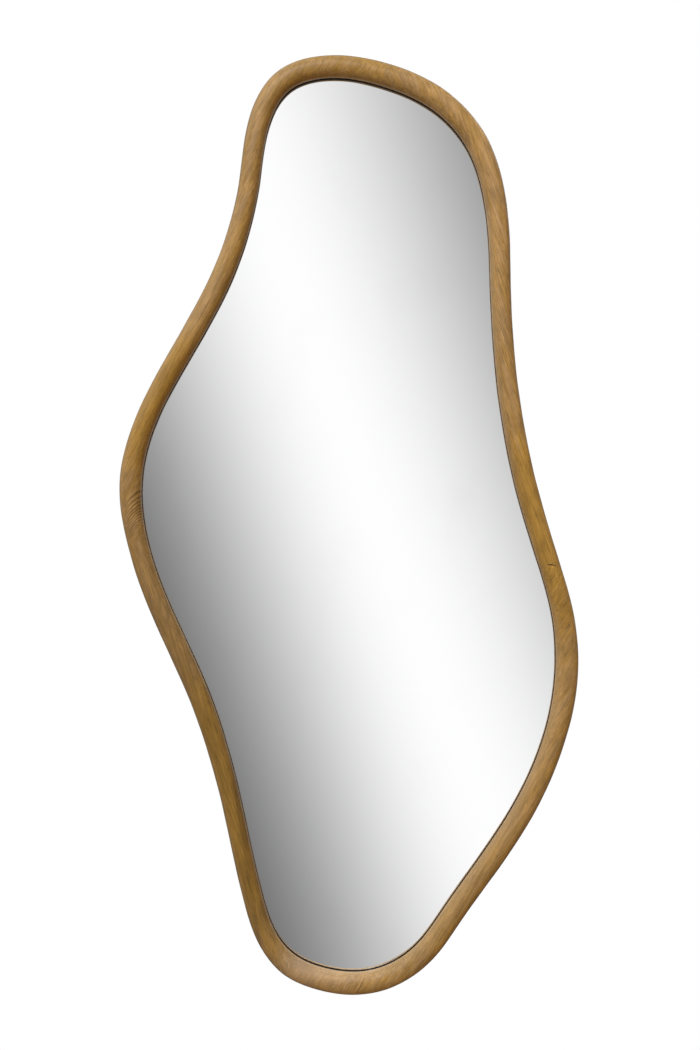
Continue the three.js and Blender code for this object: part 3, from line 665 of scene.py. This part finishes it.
def add_board(name):
    """One board of the frame, swept along its stretch of the rail."""
    start, end = board_ends[name]
    steps = math.ceil((end - start) / STATION_STEP)
    middle_stations = np.linspace(start, end, steps + 1)[1:-1]
    offsets = np.array(END_OFFSETS)
    distances = np.concatenate([start + offsets[:-1], middle_stations, end - offsets[:-1][::-1]])
    distances = np.unique(np.round(distances, 4))
    from_end = np.minimum(distances - start, end - distances)

    middles, along, inward, widths = rail.at(distances)
    sections = np.array([rail_section(width / 2) for width in widths])
    across, depths, turns = sections[..., 0], sections[..., 1], sections[0, :, 2]

    # The way off the surface, over the front, the sides and the back
    ahead, behind = np.roll(sections, -1, axis=1), np.roll(sections, 1, axis=1)
    way = ahead[..., :2] - behind[..., :2]
    way /= np.linalg.norm(way, axis=-1, keepdims=True)
    off = np.stack([way[..., 1], -way[..., 0]], axis=-1)

    shaped = (turns >= 0) & (turns <= 1)
    arris = np.where(turns < 1.2, 1.0, 0.0) * np.clip(JOINT_ARRIS - from_end, 0, None)[:, None]
    lift = np.where(shaped, relief(distances, turns), 0.0) - arris
    across = across + off[..., 0] * lift
    depths = depths + off[..., 1] * lift

    gap_start = joint_opening(name, True, turns)
    gap_end = joint_opening(name, False, turns)
    fade_start = np.clip(1 - (distances - start) / JOINT_FADE, 0, 1)[:, None]
    fade_end = np.clip(1 - (end - distances) / JOINT_FADE, 0, 1)[:, None]
    shift = gap_start * fade_start - gap_end * fade_end

    points = np.empty(across.shape + (3,))
    for axis, k in ((0, 0), (2, 1)):
        points[..., axis] = middles[:, None, k] + inward[:, None, k] * across + along[:, None, k] * shift
    points[..., 1] = depths
    rings, count = across.shape
    mesh = closed_mesh(f"board_{name}", points.reshape(-1, 3), skin(rings, count))

    # The place in the timber: across the grain, off the face, and along the grain, from the heart
    grain, heart_distance, bearing, *_ = TIMBER[name]
    grain = np.array(grain) / np.linalg.norm(grain)
    sideways = np.array([grain[1], -grain[0]])
    middle = middles[len(middles) // 2]
    flat = points[..., [0, 2]] - middle
    bearing = math.radians(bearing)
    timber = np.stack([
        flat @ sideways + heart_distance * math.cos(bearing),
        points[..., 1] + heart_distance * math.sin(bearing),
        flat @ grain,
    ], axis=-1)
    store(mesh, "timber", timber.reshape(-1, 3))
    where = np.stack([
        np.broadcast_to(turns, across.shape),
        board_tone(name, distances - start, end - distances, turns),
        np.broadcast_to(from_end[:, None], across.shape),
    ], axis=-1)
    store(mesh, "where", where.reshape(-1, 3))
    add_piece(f"board_{name}", mesh, WOOD, stands_for=[f"frame_board_{name}"])


def add_mirror():
    """The silvered glass: a flat plate with ground edges, set back behind the sight edge."""
    steps = round(rail.length / GLASS_STATION_STEP)
    middles, _, inward, widths = rail.at(np.arange(steps) / steps * rail.length)
    rings = []
    section = [(ARRIS, GLASS_BACK_Y), (0, GLASS_BACK_Y - ARRIS), (0, SILVER_Y + ARRIS), (ARRIS, SILVER_Y)]
    for inset, y in section:
        edge = middles + inward * (widths / 2 - GLASS_EDGE + inset)[:, None]
        rings.append(np.stack([edge[:, 0], np.full(steps, y), edge[:, 1]], axis=-1))
    mesh = closed_mesh("silvered_mirror", np.concatenate(rings), skin(len(rings), steps))
    add_piece("silvered_mirror", mesh, GLASS, stands_for=["mirror_glass"], sharp=20)


# ---------------------------------------------------------------------------------------------------------
# Fasteners, hangers and pads
# ---------------------------------------------------------------------------------------------------------


def turned_mesh(profile, sides):
    """A body turned about Y from a profile of [radius, y], in millimetres, and its last ring of points."""
    body = bmesh.new()
    loops = []
    for radius, y in profile:
        count = 1 if radius == 0 else sides
        angles = [2 * math.pi * k / sides for k in range(count)]
        loops.append([body.verts.new((radius * math.cos(a), y, radius * math.sin(a))) for a in angles])
    for low, high in zip(loops, loops[1:]):
        for k in range(sides):
            after = (k + 1) % sides
            if len(low) == 1:
                body.faces.new((low[0], high[k], high[after]))
            elif len(high) == 1:
                body.faces.new((low[k], high[0], low[after]))
            else:
                body.faces.new((low[k], high[k], high[after], low[after]))
    return body, loops[-1]


def place_mesh(body, name, place, turn=None):
    """A mesh in metres from a body in millimetres, turned about its own origin and put in place."""
    bmesh.ops.recalc_face_normals(body, faces=body.faces)
    mesh = bpy.data.meshes.new(name)
    body.to_mesh(mesh)
    body.free()
    mesh.transform(Matrix.Scale(MM, 4))
    mesh.transform(Matrix.Translation(place) @ (turn or Matrix.Identity(4)))
    return mesh


def cross(arm, width):
    """The twelve corners of a cross, going round."""
    quarter = [(arm, -width / 2), (arm, width / 2), (width / 2, width / 2)]
    corners = []
    for k in range(4):
        c, s = round(math.cos(k * math.pi / 2)), round(math.sin(k * math.pi / 2))
        corners += [(x * c - z * s, x * s + z * c) for x, z in quarter]
    return corners


def add_screw(name, profile, place, number, material, node):
    """A screw with a cross recess in its head, which faces along Y."""
    SIDES = 40
    body, rim = turned_mesh(profile, SIDES)
    top = profile[-1][1]
    mouth = [body.verts.new((x, top, z)) for x, z in cross(*RECESS_MOUTH)]
    floor = [body.verts.new((x, top - RECESS_DEPTH, z)) for x, z in cross(*RECESS_FLOOR)]
    edges = []
    for loop in (rim, mouth):
        for a, b in zip(loop, loop[1:] + loop[:1]):
            edges.append(body.edges.get((a, b)) or body.edges.new((a, b)))
    bmesh.ops.triangle_fill(body, edges=edges, use_beauty=True)
    for k in range(len(mouth)):
        after = (k + 1) % len(mouth)
        body.faces.new((mouth[k], mouth[after], floor[after], floor[k]))
    body.faces.new(floor)
    GOLDEN_ANGLE = 137.5
    turn = Matrix.Rotation(math.radians(GOLDEN_ANGLE * number), 4, "Y")
    mesh = place_mesh(body, name, place, turn)
    add_piece(name, mesh, material, stands_for=[node], sharp=25)


def d_ring_line(steps):
    """The D-ring's wire, from the middle of its bar round and back: points [x, z] and ways outward."""
    half = RING_INNER_WIDTH / 2 + RING_WIRE_RADIUS
    bow = half - RING_INNER_HEIGHT - RING_WIRE_RADIUS
    corner = half - RING_CORNER
    arcs = [(corner, -RING_CORNER, RING_CORNER, 90, 0), (0, bow, half, 0, -180),
            (-corner, -RING_CORNER, RING_CORNER, 180, 90)]
    line = [(0.0, 0.0)]
    for x, z, radius, start, end in arcs:
        for angle in np.radians(np.linspace(start, end, 60)):
            line.append((x + radius * math.cos(angle), z + radius * math.sin(angle)))
    line = np.array(line + [(0.0, 0.0)])
    lengths = np.concatenate([[0], np.cumsum(np.hypot(*np.diff(line, axis=0).T))])
    even = np.linspace(0, lengths[-1], steps, endpoint=False)
    points = np.stack([np.interp(even, lengths, column) for column in line.T], axis=-1)
    way = np.roll(points, -1, axis=0) - np.roll(points, 1, axis=0)
    way /= np.linalg.norm(way, axis=1, keepdims=True)
    return points, np.stack([-way[:, 1], way[:, 0]], axis=-1)


def add_ring(side):
    """A D-ring of round wire, hanging from the pivot of its strap."""
    STEPS, SIDES = 150, 24
    joint = next(joint for joint in frame["joints"] if joint["name"] == f"ring_{side}_swing")
    pivot, axis = Vector(joint["pos_m"]), Vector(joint["axis"])
    line, outward = d_ring_line(STEPS)
    angles = 2 * math.pi * np.arange(SIDES) / SIDES
    reach = RING_WIRE_RADIUS * np.cos(angles)
    points = np.empty((STEPS, SIDES, 3))
    points[..., 0] = line[:, None, 0] + outward[:, None, 0] * reach
    points[..., 1] = RING_WIRE_RADIUS * np.sin(angles)
    points[..., 2] = line[:, None, 1] + outward[:, None, 1] * reach
    mesh = closed_mesh(f"d_ring_{side}", points.reshape(-1, 3), skin(STEPS, SIDES, closed=True))
    lean = Matrix.Rotation(math.atan2(-axis.z, axis.x), 4, "Y")
    mesh.transform(Matrix.Translation(pivot) @ lean)
    add_piece(f"d_ring_{side}", mesh, ZINC, f"ring_{side}", [f"hanger_ring_{side}"])


def add_pad(node):
    """A wall pad of moulded rubber, with rounded edges and a shallow dimple."""
    low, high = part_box(node)
    radius = (high.x - low.x) / 2 / MM
    tall = (high.y - low.y) / MM
    profile = [(0, 0), (radius - 0.3, 0), (radius, 0.35), (radius - 0.05, 1.0), (radius - 0.45, tall - 0.9),
               (radius - 0.7, tall - 0.4), (radius - 1.1, tall - 0.1), (radius - 1.6, tall),
               (1.3, tall), (1.0, tall - 0.15), (0, tall - 0.3)]
    body, _ = turned_mesh(profile, 48)
    place = Vector(((low.x + high.x) / 2, low.y, (low.z + high.z) / 2))
    mesh = place_mesh(body, f"rubber_{node}", place)
    add_piece(f"rubber_{node}", mesh, RUBBER, stands_for=[node], sharp=50)


def dress(node, material, bevel=0.0):
    """Gives a CAD node its finish, smooth shading where it is round, and slightly broken edges."""
    piece = frame["nodes"][node]
    piece.data.materials.clear()
    piece.data.materials.append(material)
    piece.data.shade_smooth()
    piece.data.set_sharp_from_angle(angle=math.radians(30))
    if bevel:
        modifier = piece.modifiers.new("broken_edges", "BEVEL")
        modifier.width = bevel * MM
        modifier.segments = 2
        modifier.limit_method = "ANGLE"
        modifier.angle_limit = math.radians(35)


for board_name in BOARDS:
    add_board(board_name)
add_mirror()

for node in sorted(frame["nodes"]):
    low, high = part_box(node)
    centre = (low + high) / 2
    if node.startswith("backing_screw_"):
        number = int(node.rsplit("_", 1)[1])
        add_screw(f"countersunk_screw_{number}", COUNTERSUNK, (centre.x, 0, centre.z), number, ZINC, node)
    elif node.startswith("hanger_screw_"):
        number = int(node.rsplit("_", 1)[1]) + len(node)
        seat = high.y - PAN_HEAD_HEIGHT * MM
        add_screw(node.replace("hanger", "pan_head"), PAN, (centre.x, seat, centre.z), number, BRASS, node)
    elif node.startswith("wall_pad_"):
        add_pad(node)
    elif node.startswith("dowel_"):
        dress(node, PEG)
    elif node.startswith("packing_strip_"):
        dress(node, FOAM)
    elif node.startswith("setting_block_"):
        dress(node, RUBBER)
dress("backing_board", BACKING)
for side in ("right", "left"):
    add_ring(side)
    dress(f"hanger_strap_{side}", ZINC, bevel=0.12)

# ---------------------------------------------------------------------------------------------------------
# Stage, light and camera
# ---------------------------------------------------------------------------------------------------------

CAMERA_LENS = 50
SENSOR = 36
PHOTO_WIDTH, PHOTO_HEIGHT = 700, 1050
MM_PER_PIXEL = 1.704
PHOTO_MIDDLE_X = 349  # pixel column of x = 0; the middle row is z = 0


def add_camera():
    """Straight at the mirror, with the photograph's framing."""
    data = bpy.data.cameras.new("camera")
    data.lens = CAMERA_LENS
    data.sensor_width = SENSOR
    data.clip_end = 200
    camera = bpy.data.objects.new("camera", data)
    bpy.context.scene.collection.objects.link(camera)
    seen = PHOTO_HEIGHT * MM_PER_PIXEL * MM
    distance = seen * CAMERA_LENS / SENSOR
    sideways = (PHOTO_WIDTH / 2 - PHOTO_MIDDLE_X) * MM_PER_PIXEL * MM
    camera.location = (sideways, NOSE_Y * MM - distance, 0)
    camera.rotation_euler = (math.pi / 2, 0, 0)
    bpy.context.scene.camera = camera


def add_lamp(name, place, size, power, target=(0, 0, 0)):
    data = bpy.data.lights.new(name, "AREA")
    data.size = size
    data.energy = power
    lamp = bpy.data.objects.new(name, data)
    bpy.context.scene.collection.objects.link(lamp)
    lamp.location = place
    lamp.rotation_euler = (Vector(target) - Vector(place)).to_track_quat("-Z", "Y").to_euler()


def add_floor():
    """A pale floor under the mirror, which runs out into white, and throws a little warm light back up."""
    FLOOR_Z = -1.5
    REACH = 40
    mesh = bpy.data.meshes.new("floor")
    corners = [(-REACH, -REACH, 0), (REACH, -REACH, 0), (REACH, REACH, 0), (-REACH, REACH, 0)]
    mesh.from_pydata(corners, [], [(0, 1, 2, 3)])
    floor = bpy.data.objects.new("floor", mesh)
    floor.location.z = FLOOR_Z
    bpy.context.scene.collection.objects.link(floor)
    paint = Shader(bpy.data.materials.new("floor"))
    place = paint.add("TexCoord", output="Object")
    away = paint.vector("LENGTH", place, output="Value")
    seen = paint.add("LightPath", output="Is Camera Ray")
    pale = paint.add("BsdfDiffuse", {"Color": paint.mix(seen, (0.42, 0.33, 0.2, 1), (0.93, 0.93, 0.93, 1))})
    white = paint.add("Emission", {"Color": (1, 1, 1, 1), "Strength": 1.0})
    far = paint.math("MULTIPLY", seen, paint.between(away, 0.5, 1.5))
    paint.add("OutputMaterial", {"Surface": paint.add("MixShader", {0: far, 1: pale, 2: white})})
    mesh.materials.append(paint.holder)
    floor.visible_glossy = False


def light_world():
    """White to the camera, soft light all round, and in reflections a bright band down a grey room."""
    BAND_WAY = (0.94, 0.0, 0.342)
    BAND_AT = 0.018
    FADE_LEFT, FADE_RIGHT = 0.122, 0.143
    ROOM_LEVEL, ROOM_RIPPLE, RIPPLE_LENGTH = 0.6, 0.27, 0.55
    world = bpy.data.worlds.new("studio")
    bpy.context.scene.world = world
    room = Shader(world)
    way = room.add("TexCoord", output="Generated")
    share = room.vector("DOT_PRODUCT", way, BAND_WAY, output="Value")
    off = room.math("SUBTRACT", share, BAND_AT)
    fade = room.math("MULTIPLY_ADD", room.math("LESS_THAN", off, 0.0), FADE_LEFT - FADE_RIGHT, FADE_RIGHT)
    scaled = room.math("DIVIDE", off, fade)
    band = room.math("EXPONENT", room.math("MULTIPLY", room.math("MULTIPLY", scaled, scaled), -1.0))
    ripple = room.math("COSINE", room.math("MULTIPLY", off, 2 * math.pi / RIPPLE_LENGTH))
    beyond = room.math("MULTIPLY_ADD", ripple, ROOM_RIPPLE, ROOM_LEVEL)
    far = room.between(room.math("ABSOLUTE", off), 0.165, 0.3)
    band = room.add("Mix", {0: far, 2: band, 3: beyond}, 0, data_type="FLOAT")
    _, depth, up = room.parts(way)
    band = room.math("MULTIPLY", band, room.between(depth, 0.0, 0.6, 1.0, 0.5))
    soft = room.math("MULTIPLY_ADD", room.math("MAXIMUM", up, 0.0), 1.0, 0.16)
    soft = room.add("Mix", {0: room.between(depth, -0.1, 0.2), 2: soft, 3: 0.9}, 0, data_type="FLOAT")

    path = room.tree.nodes.new("ShaderNodeLightPath").outputs
    mirrored = room.math("MAXIMUM", path["Is Glossy Ray"], path["Is Transmission Ray"])
    mirrored = room.math("MULTIPLY", mirrored, room.math("LESS_THAN", path["Diffuse Depth"], 0.5))
    level = room.add("Mix", {0: mirrored, 2: soft, 3: band}, 0, data_type="FLOAT")
    level = room.add("Mix", {0: path["Is Camera Ray"], 2: level, 3: 1.0}, 0, data_type="FLOAT")
    room.add("OutputWorld", {"Surface": room.add("Background", {"Color": (1, 1, 1, 1), "Strength": level})})


bpy.context.scene.view_settings.view_transform = "Standard"
add_camera()
add_lamp("key", (-1.1, -3.6, 3.0), 1.6, 160)
add_lamp("back_fill", (1.6, 3.0, 2.2), 2.0, 40)
add_floor()
light_world()
